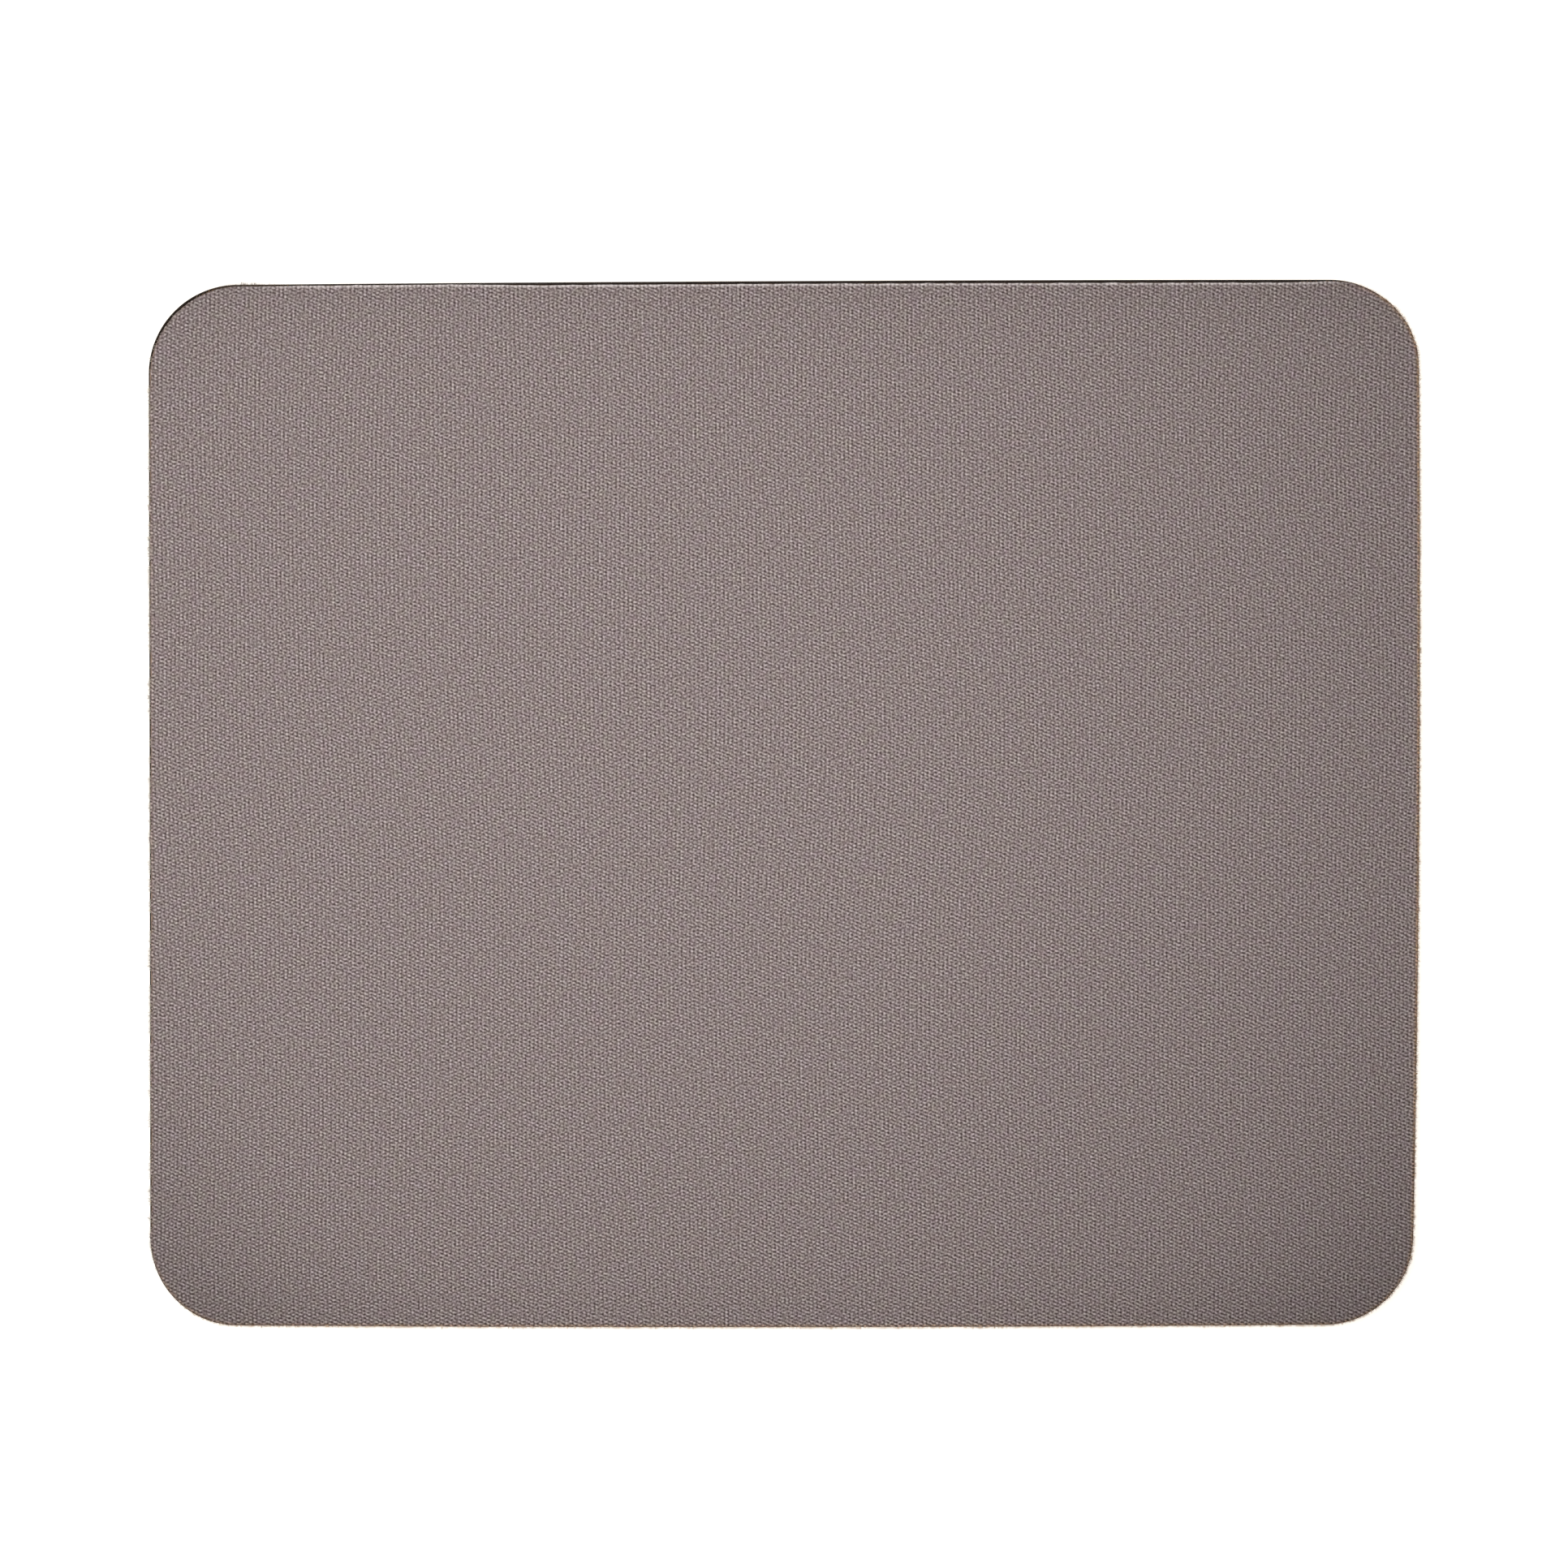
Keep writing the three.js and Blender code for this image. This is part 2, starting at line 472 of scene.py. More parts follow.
class Wiring:
    """Adds shader nodes to a tree and links them."""

    def __init__(self, tree):
        self.tree = tree
        tree.nodes.clear()

    def node(self, kind, inputs=None, **settings):
        """A node with its settings. An input is a value or another node's output."""
        made = self.tree.nodes.new(kind)
        for key, value in settings.items():
            setattr(made, key, value)
        for key, value in (inputs or {}).items():
            self.feed(made.inputs[key], value)
        return made

    def feed(self, socket, value):
        """Links an output to a socket, or sets the socket's own value."""
        if isinstance(value, bpy.types.NodeSocket):
            self.tree.links.new(value, socket)
        else:
            socket.default_value = value

    def math(self, operation, *values, clamp=False):
        """One step of arithmetic."""
        inputs = dict(enumerate(values))
        return self.node("ShaderNodeMath", inputs, operation=operation, use_clamp=clamp).outputs[0]

    def vector(self, operation, *values):
        """One step of vector arithmetic that gives a vector."""
        inputs = dict(enumerate(values))
        return self.node("ShaderNodeVectorMath", inputs, operation=operation).outputs[0]

    def measure(self, operation, *values):
        """One step of vector arithmetic that gives a number."""
        inputs = dict(enumerate(values))
        return self.node("ShaderNodeVectorMath", inputs, operation=operation).outputs["Value"]

    def between(self, share, first, second):
        """The number a share of the way from the first to the second."""
        inputs = {"Value": share, "To Min": first, "To Max": second}
        return self.node("ShaderNodeMapRange", inputs, clamp=False).outputs[0]

    def noise(self, place, scale, detail, dimensions="3D"):
        """Cloudy noise with that many clouds to the millimetre: its outputs are Fac and Color."""
        inputs = {"Vector": place, "Scale": scale, "Detail": detail}
        return self.node("ShaderNodeTexNoise", inputs, noise_dimensions=dimensions).outputs

    def blend(self, share, first, second, mode="MIX"):
        """A mix of two colours."""
        made = self.node("ShaderNodeMix", {0: share}, data_type="RGBA", blend_type=mode)
        self.feed(made.inputs[6], first)
        self.feed(made.inputs[7], second)
        return made.outputs[2]

    def ramp(self, share, tones, start=0.0, end=1.0):
        """A colour that follows a share through tones at even steps from start to end."""
        made = self.node("ShaderNodeValToRGB", {0: share})
        elements = made.color_ramp.elements
        places = [start + (end - start) * step / (len(tones) - 1) for step in range(len(tones))]
        elements[0].position = places[0]
        elements[1].position = places[-1]
        for place in places[1:-1]:
            elements.new(place)
        for element, tone in zip(elements, tones):
            element.color = opaque(tone)
        return made.outputs[0]

    def millimetres(self):
        """The place on the piece, in millimetres."""
        place = self.node("ShaderNodeTexCoord").outputs["Object"]
        return self.vector("MULTIPLY", place, (1 / MM, 1 / MM, 1 / MM))

    def bump(self, height, strength):
        """The normal of a surface raised by a height in metres."""
        inputs = {"Height": height, "Strength": strength, "Distance": 1.0}
        return self.node("ShaderNodeBump", inputs).outputs[0]

    def turn_wave(self, turns):
        """The cosine of a number of turns."""
        return self.math("COSINE", self.math("MULTIPLY", turns, 2 * math.pi))


def opaque(tone):
    """A colour with full alpha."""
    return (*tone, 1.0)


def shade(tone, times):
    """A colour made darker or paler."""
    return [channel * times for channel in tone]


def halfway(first, second):
    """The linear colour that looks half-way between two others."""
    return [((a ** (1 / 2.2) + b ** (1 / 2.2)) / 2) ** 2.2 for a, b in zip(first, second)]


def new_material(name):
    """A material and the wiring of its nodes."""
    material = bpy.data.materials.new(name)
    material.use_nodes = True
    return material, Wiring(material.node_tree)


def show(wires, **inputs):
    """Sends a principled shader with these inputs to the surface."""
    inputs = {key.replace("_", " "): value for key, value in inputs.items()}
    shader = wires.node("ShaderNodeBsdfPrincipled", inputs)
    wires.node("ShaderNodeOutputMaterial", {"Surface": shader.outputs[0]})


def cloth_material(cloth):
    """Cloth with short slanted floats in columns, each column half a float below the last.

    Two sets of waves cross: the crests of one slant down to the right, those of the other down to the
    left, and the sum of their phases gives the wave across the columns, which lags by a fixed angle.
    Painted shading of the light shows each set of waves more on one side of the pad than on the other,
    and the yarns' tone carries painted shade in the hollows and painted light on the crests. Noise
    makes the floats a little crooked, and fine noise gives the yarns thick and thin places. Along the
    far cut a painted highlight in pale beads follows the columns, and the yarns of the other cuts are
    frayed brown.
    """
    material, wires = new_material("taupe_cloth")
    place = wires.millimetres()
    half = (0.5, 0.5, 0.5)
    bend = wires.vector("SUBTRACT", wires.noise(place, scale=0.012, detail=1.0)["Color"], half)
    stray = wires.vector("SUBTRACT", wires.noise(place, scale=1.1, detail=0.0)["Color"], half)
    bend_reach = (5.0, 2.0, 0.0)
    crook = cloth.crook / MM
    grain = wires.vector("MULTIPLY_ADD", bend, bend_reach, place)
    grain = wires.vector("MULTIPLY_ADD", stray, (crook, crook, 0.0), grain)
    across = 0.5 * MM / cloth.column_pitch
    up = MM / cloth.row_pitch
    lean = across * math.tan(cloth.grain_lean)
    slant = wires.measure("DOT_PRODUCT", grain, (across, lean + up, 0.0))
    counter = wires.measure("DOT_PRODUCT", grain, (across, lean - up, 0.0))
    floats = wires.turn_wave(slant)
    crossing = wires.turn_wave(counter)
    lag = wires.math("ADD", wires.measure("DOT_PRODUCT", place, cloth.lag_drift), cloth.column_lag)
    columns = wires.turn_wave(wires.math("ADD", wires.math("ADD", slant, counter), lag))

    def here(strength, slope):
        """A strength that changes over the pad."""
        change = wires.measure("DOT_PRODUCT", place, slope)
        return wires.math("MULTIPLY_ADD", change, strength, strength)

    weave = wires.math("MULTIPLY", floats, here(cloth.float_strength, cloth.float_drift))
    column_strength = here(cloth.column_strength, cloth.column_drift)
    weave = wires.math("MULTIPLY_ADD", columns, column_strength, weave)
    cross_strength = here(cloth.cross_strength, cloth.cross_drift)
    weave = wires.math("MULTIPLY_ADD", crossing, cross_strength, weave)
    slubs = wires.noise(place, scale=MM / cloth.slub_size, detail=0.0, dimensions="2D")["Fac"]
    slubs = wires.between(slubs, 0.5 - cloth.slub_strength / 2, 0.5 + cloth.slub_strength / 2)
    share = wires.math("ADD", weave, slubs)
    # The yarns' tone, with painted shade in the hollows and painted light on the crests
    tone = wires.ramp(share, [
        cloth.hollow_shade_colour,
        halfway(cloth.hollow_shade_colour, cloth.yarn_colour),
        cloth.yarn_colour,
        halfway(cloth.yarn_colour, cloth.crest_light_colour),
        cloth.crest_light_colour,
    ])
    cloud = wires.noise(place, scale=0.5, detail=1.0)["Color"]
    tint_swing, least_tint = (0.0, 0.16, 0.14), (1.0, 0.92, 0.93)
    mottle = wires.vector("MULTIPLY_ADD", cloud, tint_swing, least_tint)
    # The colour is darkened towards the near and far edges and into the corners
    undarkened = wires.math("SUBTRACT", 1.0, darkening(wires, cloth, place))
    darkened = wires.vector("MULTIPLY", mottle, undarkened)
    tone = wires.blend(1.0, tone, darkened, "MULTIPLY")
    mark = wires.node("ShaderNodeAttribute", attribute_name="cut_edge").outputs["Fac"]
    grit = wires.noise(place, scale=1.8, detail=0.0)["Fac"]
    # The mark is above zero where the far cut has a painted highlight, below zero where it is frayed
    patches = wires.between(grit, -0.14, 1.56)
    # The painted highlight comes in pale beads along the columns, and in patches
    beads = wires.math("MULTIPLY_ADD", columns, cloth.bead_strength, patches)
    highlit = wires.math("MULTIPLY", mark, beads, clamp=True)
    tone = wires.blend(highlit, tone, opaque(cloth.highlit_colour))
    frayed = wires.math("MULTIPLY", mark, wires.between(grit, -0.4, -1.6), clamp=True)
    # The brown carries the same painted shade in the hollows and painted light on the crests
    hollow, middle, crest = 0.2, 1.0, 2.6
    brown = wires.ramp(share, [shade(cloth.frayed_colour, times) for times in (hollow, middle, crest)])
    # Frayed yarns are darkened and mottled twice over
    brown = wires.blend(1.0, brown, wires.vector("MULTIPLY", darkened, darkened), "MULTIPLY")
    tone = wires.blend(frayed, tone, brown)
    show(
        wires, Base_Color=tone, Roughness=wires.between(share, 0.98, 0.82), Sheen_Weight=cloth.sheen,
        Sheen_Roughness=0.5, Specular_IOR_Level=0.2,
        Normal=wires.bump(wires.math("MULTIPLY", weave, cloth.relief), 0.5))
    return material


def darkening(wires, cloth, place):
    """The share by which the colour of the cloth is darkened at a place.

    It falls as an exponential from the near and far edges, and grows as a square into the corners,
    outside an undarkened circle that reaches further into the far corners than into the near ones.
    """
    depth = wires.math("ABSOLUTE", wires.measure("DOT_PRODUCT", place, (0.0, 1.0, 0.0)))
    widths = wires.math(
        "MULTIPLY_ADD", depth, MM / cloth.edge_darkening_width, -HALF_DEPTH / cloth.edge_darkening_width)
    middle = wires.measure("DISTANCE", place, (0.0, cloth.undarkened_y / MM, 0.0))
    corner = wires.math(
        "MULTIPLY_ADD", middle, MM / cloth.corner_darkening_width,
        -cloth.undarkened_radius / cloth.corner_darkening_width, clamp=True)
    corners = wires.math("MULTIPLY", wires.math("POWER", corner, 2.0), cloth.corner_darkening)
    return wires.math("MULTIPLY_ADD", wires.math("EXPONENT", widths), cloth.edge_darkening, corners)


def rubber_material(rubber):
    """Near-black foam with painted shade in the open pores; cell walls and dusty places are paler."""
    material, wires = new_material("black_sponge_rubber")
    place = wires.millimetres()
    cells = wires.node("ShaderNodeTexVoronoi", {"Vector": place, "Scale": MM / rubber.pore_size})
    pits = wires.between(cells.outputs["Distance"], 0.0, 1.4)
    dust = wires.noise(place, scale=0.6, detail=3.0)["Fac"]
    # Low in the pores, which carry painted shade, and high on the cell walls and where dust is high
    wear = wires.math("MULTIPLY_ADD", dust, 0.5, wires.math("MULTIPLY", pits, 0.45))
    pore_shade, plain, worn = 0.45, 1.0, 2.4
    tone = wires.ramp(wear, [shade(rubber.rubber_colour, times) for times in (pore_shade, plain, worn)])
    show(
        wires, Base_Color=tone, Roughness=wires.between(dust, 0.8, 0.98), Specular_IOR_Level=0.08,
        Normal=wires.bump(wires.math("MULTIPLY", pits, rubber.pore_depth), 0.6))
    return material


def film_material(film):
    """Tan hot-melt film, darker where it has run thin and paler where it has run thick."""
    material, wires = new_material("hot_melt_film")
    cloud = wires.noise(wires.millimetres(), scale=0.8, detail=3.0)["Fac"]
    run_thin, run_thick = shade(film.film_colour, 0.6), shade(film.film_colour, 1.4)
    tone = wires.ramp(cloud, [run_thin, run_thick], start=0.3, end=0.7)
    show(
        wires, Base_Color=tone, Roughness=wires.between(cloud, 0.4, 0.65),
        Normal=wires.bump(wires.math("MULTIPLY", cloud, film.squeeze), 0.4))
    return material


def fibre_material(ends):
    """Loose fibres: brown where they are thick, paler towards a thin tip, each a little different."""
    material, wires = new_material("loose_fibre")
    cloud = wires.noise(wires.millimetres(), scale=1.1, detail=1.0)["Fac"]
    thin = wires.node("ShaderNodeAttribute", attribute_name="cut_edge").outputs["Fac"]
    swing = 0.225
    share = wires.math("ADD", thin, wires.between(cloud, -swing, swing))
    dark = shade(ends.tuft_colour, 0.6)
    tone = wires.ramp(
        share, [dark, ends.tuft_colour, ends.fuzz_colour, ends.tip_colour, ends.worn_colour])
    show(wires, Base_Color=tone, Roughness=wires.between(cloud, 0.95, 0.75), Specular_IOR_Level=0.2)
    return material


def edge_inset(height):
    """How far the leaning cut has drawn in at a height."""
    return height * EDGE_SLOPE


def sides(cut, counts):
    """How much each point of a ring faces left, right, to the near side and to the far side."""
    x, y = facing(cut, counts).T
    return np.clip([-x, x, -y, y], 0, 1)


def smooth_step(share):
    """Rises smoothly from 0 to 1 while the share goes from 0 to 1."""
    share = np.clip(share, 0, 1)
    return share ** 2 * (3 - 2 * share)


def bareness(cut, cloth, counts):
    """How bare of cloth the far edge is at each point of a ring: little at its left, then fully so."""
    x = edge_ring(cut, 0.0, counts)[:, 0]
    rise = smooth_step((x - cloth.bare_from) / cloth.bare_rise)
    bare = cloth.least_bare + (1 - cloth.least_bare) * rise
    return bare * smooth_step((cloth.bare_end - x) / cloth.bare_fall)


def shrink(cut, cloth, counts):
    """How far the cloth and its film have shrunk back from the cut at each point of a ring."""
    left, right, _, far = sides(cut, counts)
    bare = bareness(cut, cloth, counts)
    along_far = far * (cloth.far_bare * bare - cloth.overhang * (1 - bare))
    corners = 2 * far * (cloth.corner_bare * left - cloth.corner_cover * right)
    return along_far + corners + cloth.left_bare * left - cloth.overhang * right


def nibbles(cut, cloth, counts):
    """How uneven the cut yarns are at each point of a ring, and how much the point is on the left side.

    The yarns are most uneven on the left side, between its two corners, and least on the near side.
    """
    left, _, near, far = sides(cut, counts)
    on_left = left * np.clip(1 - 2 * (near + far), 0, 1)
    noise = smooth_noise((2 * sum(counts),), blur=(1.6,), seed=NIBBLE_SEED)
    return noise * (1 + cloth.left_nibble * on_left - cloth.near_calm * near), on_left


class PAD_OT_base(Operator):
    """Build the sponge-rubber base with its porous cut wall and gripping underside"""

    bl_idname = "mouse_pad.base"
    bl_label = "Sponge-rubber base"

    def execute(self, context):
        cut, rubber = context.scene.pad_cut, context.scene.rubber_finish
        counts = grid_counts(cut, rubber.cell)
        points_round = 2 * sum(finer(counts, 2 ** BASE_DOUBLINGS))
        grain = smooth_noise((rubber.wall_levels, points_round), blur=(0.8, 0.9), seed=PORE_SEED)
        least_grain, most_grain = 0.2, 2
        pores = rubber.pore_depth * np.clip(grain - least_grain, 0, most_grain)
        edge = []
        for share, pore in zip(np.linspace(0, 1, rubber.wall_levels), pores):
            height = BASE_HIGH.z * (1 - share)
            inset = edge_inset(height) + rubber.dish * math.sin(math.pi * share)
            # The pores fade out over the last sixth of the wall, above and below
            edge.append((inset + pore * min(1.0, 6 * share, 6 * (1 - share)), height, 1.0))
        face = face_grid(cut, cut.border, counts)
        row, column = np.indices(face.shape[:2])
        margin = np.minimum(HALF_WIDTH - abs(face[..., 0]), HALF_DEPTH - abs(face[..., 1]))
        fade = np.clip((margin - rubber.grip_border) / rubber.grip_fade, 0, 1)
        grooves = rubber.grip_depth * ((row + column) % 2) * fade
        skin = closed_layer(cut, rubber.cell, BASE_DOUBLINGS, edge, grooves=grooves)
        piece = new_layer("sponge_base", skin, rubber_material(rubber))
        dress(piece, "black_sponge_rubber", BASE_NODE)
        return {"FINISHED"}


class PAD_OT_film(Operator):
    """Build the bonding film between the cloth and the rubber"""

    bl_idname = "mouse_pad.film"
    bl_label = "Bonding film"

    def execute(self, context):
        scene = context.scene
        cut, cloth, film = scene.pad_cut, scene.cloth_finish, scene.film_finish
        fine = finer(grid_counts(cut, cloth.cell), 2 ** FILM_DOUBLINGS)
        squeeze = smooth_noise((2 * sum(fine),), blur=(1,), seed=SQUEEZE_SEED) * film.squeeze
        drawn_back = shrink(cut, cloth, fine)
        edge = []
        for share in (0.0, 0.5, 1.0):
            height = FILM_HIGH.z * (1 - share) + FILM_LOW.z * share
            # The film bulges most half-way down
            bulge = squeeze * math.sin(math.pi * (0.2 + 0.6 * share))
            edge.append((edge_inset(height) + drawn_back + bulge, height, 1.0))
        skin = closed_layer(cut, cloth.cell, FILM_DOUBLINGS, edge)
        piece = new_layer("bond_film", skin, film_material(film))
        dress(piece, "hot_melt_film", FILM_NODE)
        return {"FINISHED"}


class PAD_OT_cloth(Operator):
    """Build the woven cloth with its rolled and cut edge"""

    bl_idname = "mouse_pad.cloth"
    bl_label = "Cloth"

    def execute(self, context):
        cut, cloth = context.scene.pad_cut, context.scene.cloth_finish
        counts = grid_counts(cut, cloth.cell)
        fine = finer(counts, 2 ** CLOTH_DOUBLINGS)
        left, right, near, far = sides(cut, fine)
        bare = bareness(cut, cloth, fine)
        x = edge_ring(cut, 0.0, fine)[:, 0]
        # Stretch of the far cut whose rolled edge carries a painted highlight
        highlit = far * smooth_step((x - cloth.highlit_from) / cloth.highlit_rise)
        highlit = highlit * smooth_step((cloth.highlit_end - x) / cloth.highlit_fall)
        far_right = far * (1 - bare) * (1 - highlit) * smooth_step(x / HALF_WIDTH)
        frayed = cloth.fray_right * right + cloth.fray_near * near + cloth.fray_left * left
        frayed = np.clip(frayed + cloth.fray_far * far_right, 0, cloth.most_frayed)
        nibble = cloth.nibble * nibbles(cut, cloth, fine)[0]
        drawn_back = shrink(cut, cloth, fine)
        top, low = CLOTH_HIGH.z, CLOTH_LOW.z
        lip = top - cloth.roll_drop
        edge = []
        for step in np.linspace(0, 1, 7):
            turn = QUARTER_TURN * step
            inset = edge_inset(lip) + drawn_back + cloth.roll_width * (1 - math.sin(turn)) + nibble * step
            height = top - cloth.roll_drop * (1 - math.cos(turn))
            # The painted highlight begins a fifth of the way round the roll, the fraying near its start
            highlit_here = highlit * np.clip(3 * step - 0.6, 0, 1)
            frayed_here = frayed * np.clip(1.6 * step + 0.1, 0, 1)
            edge.append((inset, height, highlit_here - frayed_here))
        for share in (0.5, 1.0):
            height = lip * (1 - share) + low * share
            edge.append((edge_inset(height) + drawn_back + nibble, height, highlit - frayed))
        waves = smooth_noise((counts[1] + 1, counts[0] + 1), blur=(7, 7), seed=DENT_SEED)
        dents = np.minimum(waves, 0) * cloth.dents
        skin = closed_layer(cut, cloth.cell, CLOTH_DOUBLINGS, edge, dents=dents)
        piece = new_layer("woven_cloth", skin, cloth_material(cloth))
        dress(piece, "taupe_cloth", CLOTH_NODE)
        return {"FINISHED"}


class PAD_OT_yarn_ends(Operator):
    bl_idname = "mouse_pad.yarn_ends"
    bl_label = "Cut yarn ends"

    def execute(self, context):
        scene = context.scene
        cut, cloth, ends = scene.pad_cut, scene.cloth_finish, scene.yarn_ends
        size = (ends.tuft_length, ends.tuft_radius)
        root_and_tip = (0.19, 0.38)
        tufts, tuft_thinness = fibres(cut, cloth, ends, ends.tufts, size, root_and_tip, TUFT_SEED)
        size = (ends.fuzz_length, ends.fuzz_radius)
        root_and_tip = (0.41, 0.75)
        fuzz, fuzz_thinness = fibres(cut, cloth, ends, ends.fuzz, size, root_and_tip, FUZZ_SEED)
        points = np.concatenate([tufts, fuzz])
        thinness = np.concatenate([tuft_thinness, fuzz_thinness])
        cone = np.array([[0, 1, 3], [1, 2, 3], [2, 0, 3], [2, 1, 0]])
        faces = cone + 4 * np.arange(len(points))[:, None, None]
        piece = new_piece(
            "cut_yarn_ends", points.reshape(-1, 3), [faces.reshape(-1, 3)], fibre_material(ends),
            ALL_SMOOTH, thinness.ravel())
        dress(piece, "taupe_cloth")
        return {"FINISHED"}


def fibres(cut, cloth, ends, number_of, size, thinness, seed):
    """Tapered three-sided fibres that leave the cut edge of the cloth.

    Most start on the right and near sides, fewer on the left side, where the cloth stands out, and a
    few on the far side, with one fluffy stretch at its left. Each runs outwards and a little sideways:
    a ring of three points round its root, and one point at its tip. They come with the thinness at
    each point, which goes from the first value at the root to the second at the tip. Fibres of the
    left side count as thinner, so that they look paler, and those of the fluff as thicker.
    """
    rng = np.random.default_rng(seed)

    def spread(middle, width):
        """One random number for each fibre."""
        return rng.normal(middle, width, (number_of, 1))

    typical_length, radius = size
    counts = finer(grid_counts(cut, cloth.cell), 2 ** CLOTH_DOUBLINGS)
    lip = CLOTH_HIGH.z - cloth.roll_drop
    normal = facing(cut, counts)
    outline = edge_ring(cut, edge_inset(lip) + shrink(cut, cloth, counts), counts)
    left, right, near, far = sides(cut, counts)
    fluff = far * np.exp(-((outline[:, 0] - ends.fluff_place) / ends.fluff_width) ** 2)
    far_right = far * (1 - bareness(cut, cloth, counts)) * (outline[:, 0] > 0)
    drawn_in, on_left = nibbles(cut, cloth, counts)
    most_outstanding = 1.2
    outstanding = on_left * np.clip(1 - drawn_in / (1 + cloth.left_nibble), 0, most_outstanding)
    weight = right ** 3 + near ** 3 + ends.left_share * outstanding
    weight = weight + ends.far_share * far_right + ends.fluff * fluff
    teeth = near * np.cos(2 * math.pi * outline[:, 0] / cloth.column_pitch)
    clumps = smooth_noise((len(outline),), blur=(0.5,), seed=seed + 10)
    weight = weight * np.exp(ends.gathering * teeth + ends.clumping * clumps)
    chosen = rng.choice(len(outline), number_of, p=weight / weight.sum())
    upward = np.array([0.0, 0.0, 1.0])
    outward = np.column_stack([normal[chosen], np.zeros(number_of)])
    tangent = np.cross(upward, outward)
    start = CLOTH_LOW.z + (lip - CLOTH_LOW.z) * rng.random(number_of)
    root = np.column_stack([cut_error(cut, outline[chosen]), start])
    shortest, usual_growth, most = 0.4, 0.6, 2.5
    reach = typical_length * np.clip(shortest + rng.exponential(usual_growth, (number_of, 1)), 0, most)
    longer = 1 + ends.fluff_growth * fluff + on_left
    reach = np.minimum(reach * longer[chosen, None], ends.longest)
    way = outward + spread(0, ends.sideways) * tangent + spread(-ends.droop, ends.lift) * upward
    way = way / np.linalg.norm(way, axis=1, keepdims=True)
    across = np.cross(way, upward)
    across = across / np.linalg.norm(across, axis=1, keepdims=True)
    over = np.cross(across, way)
    angles = np.arange(3) * 2 * math.pi / 3
    spokes = np.cos(angles)[:, None] * across[:, None] + np.sin(angles)[:, None] * over[:, None]
    ring = root[:, None] + radius * spokes
    tip = root + reach * way
    points = np.concatenate([ring, tip[:, None]], axis=1)
    paler = ends.left_wear * left - ends.fluff_shade * np.clip(4 * fluff, 0, 1)
    return points, np.repeat(thinness, [3, 1]) + paler[chosen, None]


class PAD_OT_stage(Operator):
    """Set up the floor, the light and the camera"""

    bl_idname = "mouse_pad.stage"
    bl_label = "Studio"

    def execute(self, context):
        scene = context.scene
        scene.view_settings.view_transform = "Standard"
        make_floor(scene.studio)
        make_world(scene, scene.studio)
        make_lamp(scene, scene.studio)
        make_camera(scene, scene.studio)
        return {"FINISHED"}


def seen_directly(wires):
    """1 for what the camera sees, also in a reflection or through glass, and 0 for other light."""
    path = wires.node("ShaderNodeLightPath").outputs
    mirrored = wires.math("MAXIMUM", path["Is Glossy Ray"], path["Is Transmission Ray"])
    return wires.math("MAXIMUM", path["Is Camera Ray"], mirrored)


def make_floor(studio):
    """A plain white floor. What the camera sees of it has light added, which is white far from the pad.

    Beside the pad the added light is a little warm, which only shows in the pad's own shadow.
    """
    corners = studio.floor_reach * np.array([[-1, -1], [1, -1], [1, 1], [-1, 1]])
    points = np.column_stack([corners, np.full(4, -studio.floor_gap)])
    material, wires = new_material("white_floor")
    place = wires.node("ShaderNodeTexCoord").outputs["Object"]
    away = wires.node("ShaderNodeMapRange", {
        "Value": wires.measure("LENGTH", place),
        "From Min": studio.glow_from, "From Max": studio.glow_to})
    glow = wires.blend(away.outputs[0], opaque(studio.floor_glow), (1.0, 1.0, 1.0, 1.0))
    white = wires.node("ShaderNodeEmission", {"Color": glow, "Strength": seen_directly(wires)})
    matte = wires.node("ShaderNodeBsdfDiffuse", {"Color": opaque([studio.floor_tone] * 3)})
    both = wires.node("ShaderNodeAddShader", {0: matte.outputs[0], 1: white.outputs[0]})
    wires.node("ShaderNodeOutputMaterial", {"Surface": both.outputs[0]})
    new_piece("floor", points, [np.array([[0, 1, 2, 3]])], material, ALL_SMOOTH)


def make_world(scene, studio):
    """Even light from all round, and a white background for the camera."""
    scene.world = bpy.data.worlds.new("studio_world")
    scene.world.use_nodes = True
    wires = Wiring(scene.world.node_tree)
    strength = wires.between(seen_directly(wires), studio.fill, 1.0)
    white = wires.node("ShaderNodeBackground", {"Color": (1.0, 1.0, 1.0, 1.0), "Strength": strength})
    wires.node("ShaderNodeOutputWorld", {"Surface": white.outputs[0]})


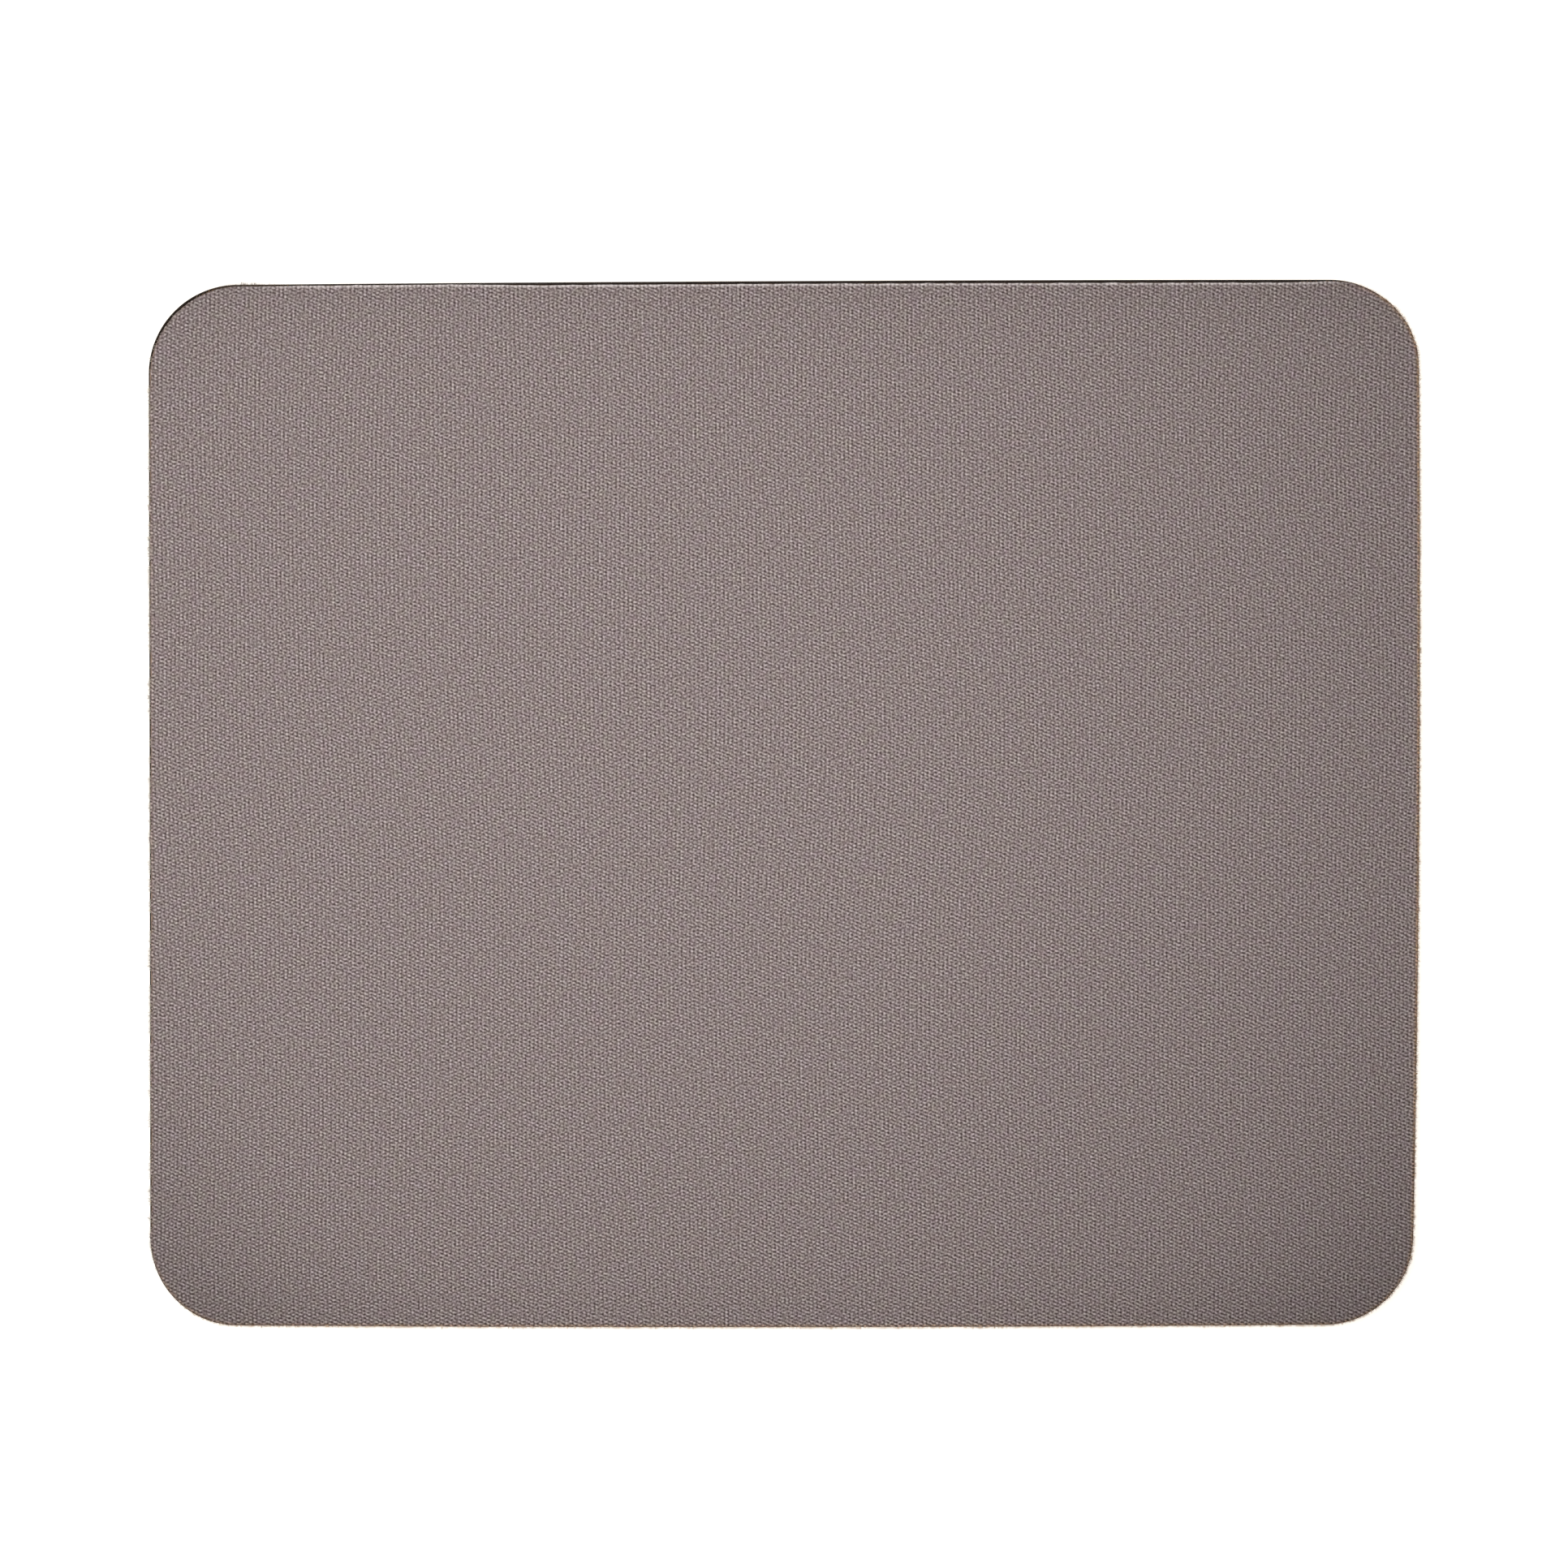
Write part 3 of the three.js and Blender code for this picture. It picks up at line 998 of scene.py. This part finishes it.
def make_lamp(scene, studio):
    """One large round soft lamp close above the pad, a little to its upper left."""
    lamp = bpy.data.lights.new("soft_lamp", "AREA")
    lamp.shape = "DISK"
    lamp.size = studio.lamp_size
    lamp.energy = studio.lamp_power
    holder = bpy.data.objects.new("soft_lamp", lamp)
    holder.location = (studio.lamp_x, studio.lamp_y, studio.lamp_height)
    holder.visible_camera = False
    scene.collection.objects.link(holder)


def make_camera(scene, studio):
    """A long lens almost straight above the pad, leaning a little to +Y."""
    camera = bpy.data.cameras.new("camera")
    camera.sensor_width = 36.0
    camera.lens = studio.focal_length
    camera.clip_start = 0.05
    camera.clip_end = 50.0
    holder = bpy.data.objects.new("camera", camera)
    back = studio.camera_distance * math.sin(studio.camera_tilt)
    height = studio.camera_distance * math.cos(studio.camera_tilt)
    holder.location = (0.0, studio.aim_y + back, height)
    holder.rotation_euler = (-studio.camera_tilt, 0.0, 0.0)
    scene.collection.objects.link(holder)
    scene.camera = holder


class PAD_PT_panel(Panel):
    """The pad's pieces, sizes and colours"""

    bl_label = "Mouse Pad"
    bl_idname = "PAD_PT_panel"
    bl_space_type = "VIEW_3D"
    bl_region_type = "UI"
    bl_category = "Mouse Pad"

    def draw(self, context):
        for operator in OPERATORS:
            self.layout.operator(operator.bl_idname)
        for name, group in GROUPS.items():
            box = self.layout.box()
            box.label(text=group.__doc__)
            for key in group.__annotations__:
                box.prop(getattr(context.scene, name), key)


GROUPS = {
    "pad_cut": PadCut,
    "cloth_finish": ClothFinish,
    "yarn_ends": YarnEnds,
    "film_finish": FilmFinish,
    "rubber_finish": RubberFinish,
    "studio": Studio,
}
OPERATORS = (PAD_OT_base, PAD_OT_film, PAD_OT_cloth, PAD_OT_yarn_ends, PAD_OT_stage)
CLASSES = (*GROUPS.values(), *OPERATORS, PAD_PT_panel)


def register():
    for kind in CLASSES:
        bpy.utils.register_class(kind)
    for name, group in GROUPS.items():
        setattr(bpy.types.Scene, name, PointerProperty(type=group))


def unregister():
    for name in GROUPS:
        delattr(bpy.types.Scene, name)
    for kind in reversed(CLASSES):
        bpy.utils.unregister_class(kind)


def main():
    register()
    bpy.ops.mouse_pad.base()
    bpy.ops.mouse_pad.film()
    bpy.ops.mouse_pad.cloth()
    bpy.ops.mouse_pad.yarn_ends()
    bpy.ops.mouse_pad.stage()


if __name__ == "__main__":
    main()
